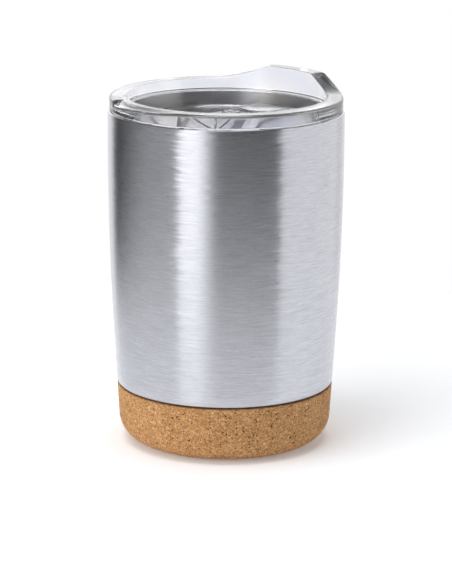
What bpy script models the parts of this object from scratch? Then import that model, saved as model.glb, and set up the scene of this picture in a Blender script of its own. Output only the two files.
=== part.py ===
"""Double-wall steel tumbler with a cork base and a clear press-in lid.

Metres, +Z up. The origin is the centre of the flat face that the cup stands on.
The lid's mouthpiece points to +Y. Its thumb cut is near -Y and deepens clockwise, seen from above.
"""
import math

import bmesh
import bpy
from mathutils import Matrix

MM = 0.001
GAP = 0.3 * MM

# Driving dimensions
RIM_RADIUS = 42.0 * MM
RIM_HEIGHT = 120.6 * MM
FOOT_RADIUS = 38.95 * MM
CORK_HEIGHT = 20.8 * MM
SHADOW_LINE = 0.6 * MM
SHELL_WALL = 0.6 * MM
LINER_WALL = 0.5 * MM
VACUUM_GAP = 2.1 * MM
CORK_FLOOR = 9.0 * MM
LID_RADIUS = 41.5 * MM
LID_THICKNESS = 4.7 * MM
MOUTH_RISE = 4.85 * MM
DECK_DROP = 4.7 * MM
SLIDER_TRAVEL = 13.5 * MM

# Resolution
STEPS = 60
ROWS = 5

# Outer shell
BARREL_SLOPE = 0.0092
WALL_TOP = RIM_HEIGHT - 1.4 * MM
RIM_CHAMFER = 0.12 * MM
RIM_CHAMFER_DROP = 0.35 * MM
RIM_FLAT = 0.5 * MM
SHOULDER_CHAMFER = 1.0 * MM
SHOULDER_DROP = 0.2 * MM
SHOULDER_Z = CORK_HEIGHT + SHADOW_LINE
FOOT_WALL_RADIUS = 36.1 * MM
HEM_INNER_RADIUS = 40.9 * MM
BOND_THICKNESS = 0.4 * MM
FOOT_Z = CORK_FLOOR + BOND_THICKNESS + 2 * GAP

# Inner liner
MOUTH_BORE = 40.1 * MM
SEAT_DEPTH = 12.0 * MM
SEAT_BLEND = 4.0 * MM
LINER_FLOOR = 14.6 * MM
LINER_CORNER = 14.0 * MM
LINER_CORNER_STEPS = 6
LINER_TOP_DROP = 0.2 * MM
LINER_STRAIGHT_Z = LINER_FLOOR + LINER_CORNER

# Base plate, bead and getter
PLATE_RADIUS = FOOT_WALL_RADIUS - SHELL_WALL - GAP
PLATE_WALL = 0.5 * MM
DIMPLE_RADIUS = 5.0 * MM
DIMPLE_SLOPE = 1.5 * MM
DIMPLE_DEPTH = 1.5 * MM
BEAD_RADIUS = 2.4 * MM
BEAD_EDGE = 0.3 * MM
GETTER_RADIUS = 4.5 * MM
GETTER_THICKNESS = 1.2 * MM
GETTER_OFFSET = 18.0 * MM
GETTER_STEPS = 24

# Cork base
CORK_TOP_RADIUS = 38.9 * MM
CORK_LOW_RADIUS = 38.25 * MM
CORK_ROUNDING = 9.6 * MM
CORK_ROUNDING_STEPS = 6
CORK_EDGE = 0.5 * MM
CORK_BORE = FOOT_WALL_RADIUS + 0.4 * MM

# Lid
WELL_TOP_RADIUS = 35.4 * MM
WELL_FLOOR_RADIUS = 34.3 * MM
PLUG_RADIUS = 36.6 * MM
SKIRT_RADIUS = 38.6 * MM
SKIRT_BORE = 35.6 * MM
SKIRT_DEPTH = 10.4 * MM
DECK_THICKNESS = 1.5 * MM
GROOVE_RADIUS = 37.2 * MM
GROOVE_TOP = 7.0 * MM
GROOVE_BOTTOM = 9.6 * MM
PLUG_FILLET = 0.4 * MM
WELL_FILLET = 1.0 * MM
LIP_FILLET = 0.5 * MM
TOP_FILLET = 1.1 * MM
SKIRT_EDGE = 0.3 * MM
SKIRT_DRAFT = 0.5 * MM
MOUTH_FLAT = math.radians(18)
MOUTH_END = math.radians(46)
MOUTH_EASE = 1.7
CUT_DEEP_END = math.radians(238)
CUT_SHALLOW_END = math.radians(285)
CUT_EASE = 0.7
CUT_RUN_OUT = 0.05
CUT_INNER_RADIUS = 37.8 * MM
CUT_EDGE_DROP = 2.0 * MM
CUT_STEPS = 12
CUT_REACH = 1.5 * MM
CUT_ABOVE = 0.4 * MM

# Gasket
GASKET_LIP = 0.9 * MM
GASKET_LIP_START = 0.35 * MM
GASKET_LIP_END = 0.55 * MM

# Drinking hole, vent and slider
HOLE_WIDTH = 11.0 * MM
HOLE_DEPTH = 6.5 * MM
HOLE_Y = 22.0 * MM
VENT_RADIUS = 1.2 * MM
VENT_Y = -24.0 * MM
HOLE_STEPS = 6
VENT_STEPS = 16
SLIDER_HALF_WIDTH = 7.8 * MM
SLIDER_PLATE = 0.9 * MM
SLIDER_BACK = -1.0 * MM
SLIDER_FRONT = 28.5 * MM
PAD_BACK = 14.5 * MM
PAD_HALF_WIDTH = 6.5 * MM
PAD_INSET = 0.5 * MM
PAD_RISE = 1.0 * MM
GRIP_Y = 3.0 * MM
GRIP_HALF_WIDTH = 4.0 * MM
GRIP_HALF_DEPTH = 1.1 * MM
GRIP_RISE = 2.4 * MM
RAIL_WIDTH = 1.2 * MM
LIP_OVERHANG = 1.2 * MM
LIP_THICKNESS = 0.6 * MM
RAIL_ROOT = 0.5 * MM
RAIL_SIDE_GAP = 0.35 * MM
RAIL_FRONT_GAP = 0.4 * MM
RAIL_BACK_GAP = 0.5 * MM
SLIDER_EDGE = 0.25 * MM

# Heights that follow from the ones above
DECK_Z = RIM_HEIGHT - DECK_DROP
FLANGE_TOP = RIM_HEIGHT + GAP + LID_THICKNESS
PLATE_Z = DECK_Z + GAP
PLATE_TOP = PLATE_Z + SLIDER_PLATE


def clear_scene():
    for item in list(bpy.data.objects):
        bpy.data.objects.remove(item)


def new_collection(name):
    group = bpy.data.collections.new(name)
    bpy.context.scene.collection.children.link(group)
    return group


def new_material(name, colour, roughness, metallic=0.0, transmission=0.0):
    material = bpy.data.materials.new(name)
    material.use_nodes = True
    shader = material.node_tree.nodes["Principled BSDF"]
    shader.inputs["Base Color"].default_value = (*colour, 1.0)
    shader.inputs["Roughness"].default_value = roughness
    shader.inputs["Metallic"].default_value = metallic
    shader.inputs["Transmission Weight"].default_value = transmission
    material.diffuse_color = (*colour, 1.0)
    return material


def smooth(mesh):
    mesh.shade_smooth()
    mesh.set_sharp_from_angle(angle=math.radians(35))


def add_object(name, mesh, group, material=None):
    item = bpy.data.objects.new(name, mesh)
    group.objects.link(item)
    if material:
        mesh.materials.append(material)
    return item


def add_cutter(name, mesh, group):
    item = add_object(name, mesh, group)
    item.hide_render = True
    item.display_type = "WIRE"
    return item


def rounded(corners):
    """Points of a profile from (radius, height, fillet) corners, with each fillet as an arc."""
    points = []
    last = len(corners) - 1
    for index, (x, z, fillet) in enumerate(corners):
        if fillet == 0 or index in (0, last):
            points.append((x, z))
            continue
        before = corners[index - 1]
        after = corners[index + 1]
        points.extend(corner_arc((x, z), before, after, fillet))
    return points


def corner_arc(corner, before, after, fillet):
    """The arc that rounds one corner between two straight runs."""
    angle_in = math.atan2(before[1] - corner[1], before[0] - corner[0])
    angle_out = math.atan2(after[1] - corner[1], after[0] - corner[0])
    turn = (angle_out - angle_in + math.pi) % (2 * math.pi) - math.pi
    half = abs(turn) / 2
    setback = fillet / math.tan(half)
    centre_angle = angle_in + turn / 2
    reach = fillet / math.sin(half)
    centre_x = corner[0] + reach * math.cos(centre_angle)
    centre_z = corner[1] + reach * math.sin(centre_angle)
    start_x = corner[0] + setback * math.cos(angle_in)
    start_z = corner[1] + setback * math.sin(angle_in)
    start = math.atan2(start_z - centre_z, start_x - centre_x)
    sweep = -math.copysign(math.pi - 2 * half, turn)
    pieces = 1 + round(min(fillet / (0.45 * MM), 3) * abs(sweep) / math.radians(90))
    arc = []
    for step in range(pieces + 1):
        angle = start + sweep * step / pieces
        arc.append((centre_x + fillet * math.cos(angle), centre_z + fillet * math.sin(angle)))
    return arc


def profile_mesh(name, points, closed):
    mesh = bpy.data.meshes.new(name)
    edges = [(index, index + 1) for index in range(len(points) - 1)]
    if closed:
        edges.append((len(points) - 1, 0))
    mesh.from_pydata([(x, 0, z) for x, z in points], edges, [])
    return mesh


def turned(name, points, group, material, closed):
    """A profile turned about +Z with a Screw modifier, kept as a plain mesh."""
    source = bpy.data.objects.new(name + "_profile", profile_mesh(name, points, closed))
    group.objects.link(source)
    screw = source.modifiers.new("Screw", "SCREW")
    screw.axis = "Z"
    screw.angle = 2 * math.pi
    screw.steps = STEPS
    screw.render_steps = STEPS
    screw.use_merge_vertices = True
    screw.merge_threshold = 0.00001
    mesh = evaluated_mesh(source)
    bpy.data.objects.remove(source)
    mesh.name = name
    smooth(mesh)
    return add_object(name, mesh, group, material)


def evaluated_mesh(item):
    bpy.context.view_layer.update()
    graph = bpy.context.evaluated_depsgraph_get()
    return bpy.data.meshes.new_from_object(item.evaluated_get(graph))


def box_mesh(name, low, high):
    mesh = bpy.data.meshes.new(name)
    size = [high[axis] - low[axis] for axis in range(3)]
    centre = [(high[axis] + low[axis]) / 2 for axis in range(3)]
    cube = bmesh.new()
    bmesh.ops.create_cube(cube, size=1, matrix=Matrix.Translation(centre) @ Matrix.Diagonal((*size, 1)))
    cube.to_mesh(mesh)
    cube.free()
    return mesh


def cylinder_mesh(name, radius, low, high, segments):
    mesh = bpy.data.meshes.new(name)
    drum = bmesh.new()
    bmesh.ops.create_cone(
        drum,
        cap_ends=True,
        segments=segments,
        radius1=radius,
        radius2=radius,
        depth=high - low,
        matrix=Matrix.Translation((0, 0, (high + low) / 2)),
    )
    drum.to_mesh(mesh)
    drum.free()
    return mesh


def swept_mesh(name, section, start, sweep, pieces):
    """A section in the XZ plane swept about +Z, closed at both ends."""
    mesh = bpy.data.meshes.new(name)
    solid = bmesh.new()
    corners = [solid.verts.new((x, 0, z)) for x, z in section]
    face = solid.faces.new(corners)
    turn = Matrix.Rotation(start, 3, "Z")
    bmesh.ops.rotate(solid, verts=solid.verts[:], cent=(0, 0, 0), matrix=turn)
    geometry = [face] + list(face.edges) + list(face.verts)
    bmesh.ops.spin(
        solid, geom=geometry, cent=(0, 0, 0), axis=(0, 0, 1), angle=sweep, steps=pieces
    )
    bmesh.ops.recalc_face_normals(solid, faces=solid.faces[:])
    solid.to_mesh(mesh)
    solid.free()
    return mesh


def boolean(item, cutter, operation):
    modifier = item.modifiers.new(cutter.name, "BOOLEAN")
    modifier.operation = operation
    modifier.object = cutter
    modifier.solver = "EXACT"


def barrel_radius(z):
    """Outer radius of the steel wall: nearly straight at the rim, drawn in towards the foot."""
    depth = RIM_HEIGHT - z
    full = RIM_HEIGHT - SHOULDER_Z
    curve = (RIM_RADIUS + BARREL_SLOPE * full - FOOT_RADIUS) / full**2
    return RIM_RADIUS + BARREL_SLOPE * depth - curve * depth**2


def spaced(low, high, count):
    return [low + (high - low) * step / count for step in range(count + 1)]


def make_outer_shell(group, material):
    outside = [(barrel_radius(z), z) for z in spaced(WALL_TOP, SHOULDER_Z + SHOULDER_CHAMFER, ROWS)]
    inside = [(x - SHELL_WALL, z) for x, z in reversed(outside)]
    floor_top = SHOULDER_Z + SHELL_WALL
    inside[0] = (inside[0][0], floor_top + 2 * SHOULDER_DROP)
    corner = barrel_radius(SHOULDER_Z)
    foot_inner = FOOT_WALL_RADIUS - SHELL_WALL
    chamfer_z = RIM_HEIGHT - RIM_CHAMFER_DROP
    points = [(HEM_INNER_RADIUS + RIM_CHAMFER_DROP, RIM_HEIGHT), (RIM_RADIUS - RIM_FLAT, RIM_HEIGHT)]
    points.append((RIM_RADIUS - RIM_CHAMFER, chamfer_z))
    points.extend(outside)
    points.append((corner - SHOULDER_CHAMFER / 3, SHOULDER_Z + SHOULDER_DROP))
    points.append((corner - SHOULDER_CHAMFER, SHOULDER_Z))
    points.append((FOOT_WALL_RADIUS, SHOULDER_Z))
    points.append((FOOT_WALL_RADIUS, FOOT_Z))
    points.append((foot_inner, FOOT_Z))
    points.append((foot_inner, floor_top))
    points.append((corner - SHELL_WALL - SHOULDER_CHAMFER / 2, floor_top))
    points.extend(inside)
    points.append((HEM_INNER_RADIUS, WALL_TOP))
    points.append((HEM_INNER_RADIUS, chamfer_z))
    return turned("outer_shell", points, group, material, closed=True)


def liner_radius(z):
    """Outer radius of the liner: straight where the lid sits, then parallel to the shell."""
    seat = MOUTH_BORE + LINER_WALL
    below = barrel_radius(z) - SHELL_WALL - VACUUM_GAP
    depth = RIM_HEIGHT - z - SEAT_DEPTH
    blend = min(max(depth / SEAT_BLEND, 0), 1)
    ease = blend * blend * (3 - 2 * blend)
    return seat + (below - seat) * ease


def make_inner_liner(group, material):
    seat_z = RIM_HEIGHT - SEAT_DEPTH
    heights = [RIM_HEIGHT - LINER_TOP_DROP, seat_z, seat_z - SEAT_BLEND / 2]
    heights.extend(spaced(seat_z - SEAT_BLEND, LINER_STRAIGHT_Z, ROWS - 2))
    outside = [(liner_radius(z), z) for z in heights]
    inside = [(x - LINER_WALL, z) for x, z in outside]
    centre = outside[-1][0] - LINER_CORNER
    reach = LINER_CORNER - LINER_WALL
    for angle in spaced(0, math.radians(90), LINER_CORNER_STEPS)[1:]:
        wide = math.cos(angle)
        low = math.sin(angle)
        outside.append((centre + LINER_CORNER * wide, LINER_STRAIGHT_Z - LINER_CORNER * low))
        inside.append((centre + reach * wide, LINER_STRAIGHT_Z - reach * low))
    outside.append((0, LINER_FLOOR))
    inside.append((0, LINER_FLOOR + LINER_WALL))
    points = list(reversed(inside)) + outside
    return turned("inner_liner", points, group, material, closed=False)


def make_base_plate(group, material):
    low = FOOT_Z
    high = FOOT_Z + PLATE_WALL
    step = DIMPLE_RADIUS + DIMPLE_SLOPE
    points = [
        (0, high + DIMPLE_DEPTH),
        (DIMPLE_RADIUS, high + DIMPLE_DEPTH),
        (step, high),
        (PLATE_RADIUS, high),
        (PLATE_RADIUS, low),
        (step - PLATE_WALL / 2, low),
        (DIMPLE_RADIUS - PLATE_WALL / 2, low + DIMPLE_DEPTH),
        (0, low + DIMPLE_DEPTH),
    ]
    return turned("shell_base_plate", points, group, material, closed=False)


def make_seal_bead(group, material):
    low = FOOT_Z + GAP
    high = FOOT_Z + DIMPLE_DEPTH - GAP
    corners = [(0, high, 0), (BEAD_RADIUS, high, BEAD_EDGE), (BEAD_RADIUS, low, BEAD_EDGE), (0, low, 0)]
    return turned("vacuum_seal_bead", rounded(corners), group, material, closed=False)


def make_getter(group, material):
    low = FOOT_Z + PLATE_WALL + GAP
    mesh = cylinder_mesh("vacuum_getter", GETTER_RADIUS, low, low + GETTER_THICKNESS, GETTER_STEPS)
    smooth(mesh)
    item = add_object("vacuum_getter", mesh, group, material)
    item.location.x = GETTER_OFFSET
    return item


def make_bond(group, material):
    low = CORK_FLOOR + GAP
    mesh = cylinder_mesh("cork_bond_pad", PLATE_RADIUS - MM, low, low + BOND_THICKNESS, STEPS)
    smooth(mesh)
    return add_object("cork_bond_pad", mesh, group, material)


def make_cork_base(group, material):
    points = [(CORK_BORE, CORK_HEIGHT), (CORK_TOP_RADIUS - CORK_EDGE, CORK_HEIGHT)]
    points.append((CORK_TOP_RADIUS, CORK_HEIGHT - CORK_EDGE))
    centre = CORK_LOW_RADIUS - CORK_ROUNDING
    for angle in spaced(0, math.radians(90), CORK_ROUNDING_STEPS):
        reach = CORK_ROUNDING * math.cos(angle)
        drop = CORK_ROUNDING * math.sin(angle)
        points.append((centre + reach, CORK_ROUNDING - drop))
    points.append((0, 0))
    floor = [(0, CORK_FLOOR), (CORK_BORE, CORK_FLOOR)]
    return turned("cork_base", floor + points, group, material, closed=False)


def mouth_lift(x, y):
    """How far the rim of the lid rises at one place: flat over the mouthpiece, eased beside it."""
    away = abs(math.atan2(x, y))
    if away <= MOUTH_FLAT:
        return MOUTH_RISE
    if away >= MOUTH_END:
        return 0.0
    left = (MOUTH_END - away) / (MOUTH_END - MOUTH_FLAT)
    return MOUTH_RISE * left**MOUTH_EASE


def lid_profile():
    under = RIM_HEIGHT + GAP
    deck_low = DECK_Z - DECK_THICKNESS
    skirt = RIM_HEIGHT - SKIRT_DEPTH
    groove_top = RIM_HEIGHT - GROOVE_TOP
    groove_low = RIM_HEIGHT - GROOVE_BOTTOM
    return rounded([
        (0, DECK_Z, 0),
        (WELL_FLOOR_RADIUS, DECK_Z, WELL_FILLET),
        (WELL_TOP_RADIUS, FLANGE_TOP, LIP_FILLET),
        (LID_RADIUS, FLANGE_TOP, TOP_FILLET),
        (LID_RADIUS, under, LIP_FILLET),
        (PLUG_RADIUS, under, PLUG_FILLET),
        (PLUG_RADIUS, deck_low, 0),
        (SKIRT_RADIUS, deck_low, 0),
        (SKIRT_RADIUS, groove_top, 0),
        (GROOVE_RADIUS, groove_top, 0),
        (GROOVE_RADIUS, groove_low, 0),
        (SKIRT_RADIUS, groove_low, 0),
        (SKIRT_RADIUS - SKIRT_EDGE, skirt, 0),
        (SKIRT_BORE + SKIRT_DRAFT, skirt, 0),
        (SKIRT_BORE, deck_low, WELL_FILLET / 2),
        (0, deck_low, 0),
    ])


def cut_share(angle):
    """Share of the thumb cut's full depth at an angle. It runs out just above the flange."""
    along = (CUT_SHALLOW_END - angle) / (CUT_SHALLOW_END - CUT_DEEP_END)
    return (1 + CUT_RUN_OUT) * max(along, 0)**CUT_EASE - CUT_RUN_OUT


def make_thumb_cut(cutters):
    """A ramp round the flange's edge, which ends in the step that a thumb lifts."""
    slope = CUT_EDGE_DROP / (LID_RADIUS - CUT_INNER_RADIUS)
    fall = CUT_EDGE_DROP + CUT_REACH * slope
    section = [
        (CUT_INNER_RADIUS - CUT_ABOVE / slope, FLANGE_TOP + CUT_ABOVE),
        (LID_RADIUS + CUT_REACH, FLANGE_TOP + CUT_ABOVE),
        (LID_RADIUS + CUT_REACH, FLANGE_TOP - fall),
    ]
    sweep = CUT_SHALLOW_END - CUT_DEEP_END
    mesh = swept_mesh("thumb_cut", section, CUT_DEEP_END, sweep, CUT_STEPS)
    for vertex in mesh.vertices:
        if vertex.co.z < FLANGE_TOP:
            angle = math.atan2(vertex.co.y, vertex.co.x) % math.tau
            vertex.co.z = FLANGE_TOP - fall * cut_share(angle)
    return add_cutter("thumb_cut", mesh, cutters)


def make_drink_hole(cutters):
    """A slot with round ends, cut from a flat curve outline."""
    curve = bpy.data.curves.new("drink_hole_outline", "CURVE")
    curve.dimensions = "2D"
    curve.fill_mode = "BOTH"
    curve.extrude = 2 * MM
    spline = curve.splines.new("POLY")
    radius = HOLE_DEPTH / 2
    reach = HOLE_WIDTH / 2 - radius
    outline = []
    for side in (1, -1):
        for angle in spaced(-math.pi / 2, math.pi / 2, HOLE_STEPS):
            outline.append((side * (reach + radius * math.cos(angle)), side * radius * math.sin(angle)))
    spline.points.add(len(outline) - 1)
    for point, (x, y) in zip(spline.points, outline):
        point.co = (x, y, 0, 1)
    spline.use_cyclic_u = True
    source = bpy.data.objects.new("drink_hole_outline", curve)
    cutters.objects.link(source)
    mesh = evaluated_mesh(source)
    bpy.data.objects.remove(source)
    welded = bmesh.new()
    welded.from_mesh(mesh)
    bmesh.ops.remove_doubles(welded, verts=welded.verts[:], dist=0.00001)
    bmesh.ops.recalc_face_normals(welded, faces=welded.faces[:])
    welded.to_mesh(mesh)
    welded.free()
    item = add_cutter("drink_hole", mesh, cutters)
    item.location = (0, HOLE_Y, DECK_Z - DECK_THICKNESS / 2)
    return item


def make_vent_hole(cutters):
    mesh = cylinder_mesh("vent_hole", VENT_RADIUS, DECK_Z - 2 * DECK_THICKNESS, DECK_Z + MM, VENT_STEPS)
    item = add_cutter("vent_hole", mesh, cutters)
    item.location.y = VENT_Y
    return item


def make_rails(cutters):
    """Two lipped rails and two end stops: one frame that holds the slider down on the deck."""
    inner = SLIDER_HALF_WIDTH + RAIL_SIDE_GAP
    outer = inner + RAIL_WIDTH
    front = SLIDER_FRONT + RAIL_FRONT_GAP
    back = SLIDER_BACK - SLIDER_TRAVEL - RAIL_BACK_GAP
    top = PLATE_TOP + GAP + LIP_THICKNESS
    low = DECK_Z - RAIL_ROOT
    frame = box_mesh(
        "slider_rails", (-outer, back - RAIL_WIDTH, low), (outer, front + RAIL_WIDTH, top)
    )
    track = box_mesh("rail_track", (-inner, back, low - MM), (inner, front, top - LIP_THICKNESS))
    lip = inner - LIP_OVERHANG
    slot = box_mesh("rail_slot", (-lip, back, low - MM), (lip, front, top + MM))
    rails = add_cutter("slider_rails", frame, cutters)
    boolean(rails, add_cutter("rail_track", track, cutters), "DIFFERENCE")
    boolean(rails, add_cutter("rail_slot", slot, cutters), "DIFFERENCE")
    return rails


def make_lid_body(group, cutters, material):
    lid = turned("lid_body", lid_profile(), group, material, closed=False)
    raised = RIM_HEIGHT + LID_THICKNESS / 2
    for vertex in lid.data.vertices:
        if vertex.co.z > raised:
            vertex.co.z += mouth_lift(vertex.co.x, vertex.co.y)
    boolean(lid, make_thumb_cut(cutters), "DIFFERENCE")
    boolean(lid, make_rails(cutters), "UNION")
    boolean(lid, make_drink_hole(cutters), "DIFFERENCE")
    boolean(lid, make_vent_hole(cutters), "DIFFERENCE")
    return lid


def make_lid_gasket(group, material):
    """A ring in the skirt's groove, with two lips that reach the liner."""
    high = RIM_HEIGHT - GROOVE_TOP - GAP
    low = RIM_HEIGHT - GROOVE_BOTTOM + GAP
    inner = GROOVE_RADIUS + GAP
    lip = MOUTH_BORE - GAP
    waist = lip - GASKET_LIP
    middle = (high + low) / 2
    points = [
        (inner, high),
        (waist, high),
        (lip, high - GASKET_LIP_START),
        (lip, high - GASKET_LIP_END),
        (waist, middle),
        (lip, low + GASKET_LIP_END),
        (lip, low + GASKET_LIP_START),
        (waist, low),
        (inner, low),
    ]
    return turned("lid_gasket", points, group, material, closed=True)


def make_lid_slider(group, cutters, material):
    """Flat plate under the rails' lips, a raised pad over the hole, and a thumb grip."""
    plate = box_mesh(
        "lid_slider",
        (-SLIDER_HALF_WIDTH, SLIDER_BACK, PLATE_Z),
        (SLIDER_HALF_WIDTH, SLIDER_FRONT, PLATE_TOP),
    )
    slider = add_object("lid_slider", plate, group, material)
    root = PLATE_TOP - SLIDER_PLATE / 2
    pad = box_mesh(
        "slider_pad",
        (-PAD_HALF_WIDTH, PAD_BACK, root),
        (PAD_HALF_WIDTH, SLIDER_FRONT - PAD_INSET, PLATE_TOP + PAD_RISE),
    )
    grip = box_mesh(
        "slider_grip",
        (-GRIP_HALF_WIDTH, GRIP_Y - GRIP_HALF_DEPTH, root),
        (GRIP_HALF_WIDTH, GRIP_Y + GRIP_HALF_DEPTH, PLATE_TOP + GRIP_RISE),
    )
    for mesh in (pad, grip):
        raised = add_cutter(mesh.name, mesh, cutters)
        boolean(slider, raised, "UNION")
    bevel = slider.modifiers.new("Bevel", "BEVEL")
    bevel.width = SLIDER_EDGE
    bevel.segments = 2
    bevel.limit_method = "ANGLE"
    return slider


def build():
    clear_scene()
    parts = new_collection("cork_base_tumbler")
    cutters = new_collection("cutters")
    steel = new_material("brushed_steel", (0.62, 0.62, 0.65), 0.28, metallic=1.0)
    inner_steel = new_material("liner_steel", (0.55, 0.55, 0.57), 0.22, metallic=1.0)
    plate_steel = new_material("plate_steel", (0.5, 0.5, 0.52), 0.4, metallic=1.0)
    solder = new_material("solder", (0.45, 0.45, 0.46), 0.35, metallic=1.0)
    getter_metal = new_material("getter_metal", (0.3, 0.3, 0.32), 0.5, metallic=1.0)
    cork = new_material("cork", (0.56, 0.36, 0.18), 0.85)
    glue = new_material("bond", (0.05, 0.05, 0.05), 0.8)
    clear = new_material("clear_plastic", (0.95, 0.96, 0.98), 0.03, transmission=1.0)
    slider_clear = new_material("slider_plastic", (0.92, 0.94, 0.97), 0.05, transmission=1.0)
    silicone = new_material("silicone", (0.85, 0.87, 0.9), 0.4, transmission=0.4)
    make_outer_shell(parts, steel)
    make_inner_liner(parts, inner_steel)
    make_base_plate(parts, plate_steel)
    make_seal_bead(parts, solder)
    make_getter(parts, getter_metal)
    make_bond(parts, glue)
    make_cork_base(parts, cork)
    make_lid_body(parts, cutters, clear)
    make_lid_gasket(parts, silicone)
    make_lid_slider(parts, cutters, slider_clear)


build()
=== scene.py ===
"""Looks of the cork-base tumbler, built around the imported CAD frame."""
import math

import bmesh
import bpy
from mathutils import Matrix, Vector, noise


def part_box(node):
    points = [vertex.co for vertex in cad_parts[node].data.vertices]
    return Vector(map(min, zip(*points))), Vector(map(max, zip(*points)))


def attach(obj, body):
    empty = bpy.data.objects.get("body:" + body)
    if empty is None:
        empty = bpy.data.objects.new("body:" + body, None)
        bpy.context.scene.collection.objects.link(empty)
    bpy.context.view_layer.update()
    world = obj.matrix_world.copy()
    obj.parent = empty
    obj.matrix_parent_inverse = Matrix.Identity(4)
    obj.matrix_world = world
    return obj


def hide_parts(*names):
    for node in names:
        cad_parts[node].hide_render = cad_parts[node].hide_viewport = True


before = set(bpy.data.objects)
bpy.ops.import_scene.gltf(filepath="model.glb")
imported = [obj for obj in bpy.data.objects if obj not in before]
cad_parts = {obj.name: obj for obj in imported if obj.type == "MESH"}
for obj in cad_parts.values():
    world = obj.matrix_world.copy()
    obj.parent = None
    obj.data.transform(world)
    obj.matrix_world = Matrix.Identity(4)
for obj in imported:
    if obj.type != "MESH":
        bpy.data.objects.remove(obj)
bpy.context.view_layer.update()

MM = 0.001

# The camera's turn about +Z from the -Y side, its place in metres, its tilts, its lens in millimetres
CAMERA_AZIMUTH = math.radians(41)
CAMERA_DISTANCE = 0.9453
CAMERA_SIDE = 0.28 * MM
CAMERA_HEIGHT = 0.2933
CAMERA_PITCH = math.radians(14.23)
CAMERA_ROLL = math.radians(0.35)
CAMERA_LENS = 166.7
CAMERA_SENSOR = 36.0

# Sizes taken from the frame
SHELL_LOW, SHELL_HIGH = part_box("outer_shell")
CORK_LOW, CORK_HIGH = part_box("cork_base")
LINER_LOW, LINER_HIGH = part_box("inner_liner")
LID_LOW, LID_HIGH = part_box("lid_body")
SLIDER_LOW, SLIDER_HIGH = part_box("lid_slider")
GASKET_LOW, GASKET_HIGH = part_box("lid_gasket")

# Outer shell
RIM_Z = SHELL_HIGH.z
RIM_RADIUS = 42.0 * MM
RIM_EDGE = 0.3 * MM
HEM_INNER_RADIUS = 40.9 * MM
HEM_EDGE = 0.4 * MM
HEM_DEPTH = 1.8 * MM
HEM_RUN_OUT = 3 * MM
SHELL_WALL = 0.6 * MM
BARREL_SLOPE = 0.0092
SHADOW_LINE = 0.6 * MM
SHOULDER_Z = CORK_HIGH.z + SHADOW_LINE
SHOULDER_ROUNDING = 0.7 * MM
FOOT_RADIUS = 38.95 * MM
FOOT_WALL_RADIUS = 36.1 * MM
FOOT_BEVEL = 0.4 * MM

# Inner liner
LINER_WALL = 0.5 * MM
VACUUM_GAP = 2.1 * MM
MOUTH_BORE = 40.1 * MM
SEAT_DEPTH = 12.0 * MM
SEAT_BLEND = 4.0 * MM
LINER_CORNER = 14.0 * MM

# Cork, with the height under which its standing face stays flat
CORK_LOW_RADIUS = 38.25 * MM
CORK_ROUNDING = 9.6 * MM
CORK_FLAT_RADIUS = CORK_LOW_RADIUS - CORK_ROUNDING
CORK_BORE = 36.5 * MM
CORK_FLOOR = 9.0 * MM
CORK_EDGE = 0.45 * MM
CORK_EDGE_FLAT = 0.6 * MM
CORK_EDGE_DIP = 0.05 * MM
CORK_EDGE_BLEND = 0.35 * MM
CORK_BEVEL = 0.4 * MM
CORK_CORNER = 0.5 * MM
CORK_RELIEF = 0.07 * MM
CORK_CHIP = 0.35 * MM
CORK_STILL_HEIGHT = 0.4 * MM

# Lid, measured from the steel's rim
LID_RADIUS = LID_HIGH.x
FLANGE_GAP = 0.3 * MM
FLANGE_TOP = RIM_Z + 5.0 * MM
FLANGE_UNDER = RIM_Z + FLANGE_GAP
FLANGE_FILLET = 0.5 * MM
TOP_FILLET = 1.1 * MM
DECK_Z = RIM_Z - 4.7 * MM
DECK_LOW = DECK_Z - 1.5 * MM
DECK_RINGS = (12 * MM, 4 * MM)
WELL_TOP_RADIUS = 35.4 * MM
WELL_FLOOR_RADIUS = 34.3 * MM
WELL_EDGE = 0.5 * MM
WELL_CORNER = 0.5 * MM
PLUG_RADIUS = 36.6 * MM
PLUG_FILLET = 0.4 * MM
SKIRT_Z = LID_LOW.z
SKIRT_RADIUS = 38.6 * MM
SKIRT_BORE = 35.6 * MM
SKIRT_DRAFT = 0.5 * MM
SKIRT_BEVEL = 0.2 * MM
SKIRT_FILLET = 0.3 * MM
SKIRT_ROOT = 0.6 * MM
GROOVE_RADIUS = 37.2 * MM
GROOVE_TOP_Z = RIM_Z - 7.0 * MM
GROOVE_LOW_Z = RIM_Z - 9.6 * MM

# Mouthpiece, as angles to each side of its middle, and thumb cut, as angles about +Z
MOUTH_MIDDLE = math.pi / 2
MOUTH_RISE = LID_HIGH.z - FLANGE_TOP
MOUTH_FLAT = math.radians(18)
MOUTH_END = math.radians(46)
MOUTH_EASE = 1.7
CREST_SPREAD = math.radians(1.1)
CUT_DEEP_END = math.radians(238)
CUT_SHALLOW_END = math.radians(285)
CUT_EASE = 0.7
CUT_INNER_RADIUS = 37.8 * MM
CUT_EDGE_DROP = 2.0 * MM
CUT_STEP = math.radians(0.55)
CUT_STEP_COLUMNS = 6

# Drinking hole and vent. A slot needs some straight length between its round ends.
HOLE_WIDTH = 11.0 * MM
HOLE_DEPTH = 6.5 * MM
HOLE_Y = 22.0 * MM
VENT_WIDTH = 2.4 * MM
VENT_Y = -24.0 * MM
LEAST_STRAIGHT = 0.01 * MM

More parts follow.
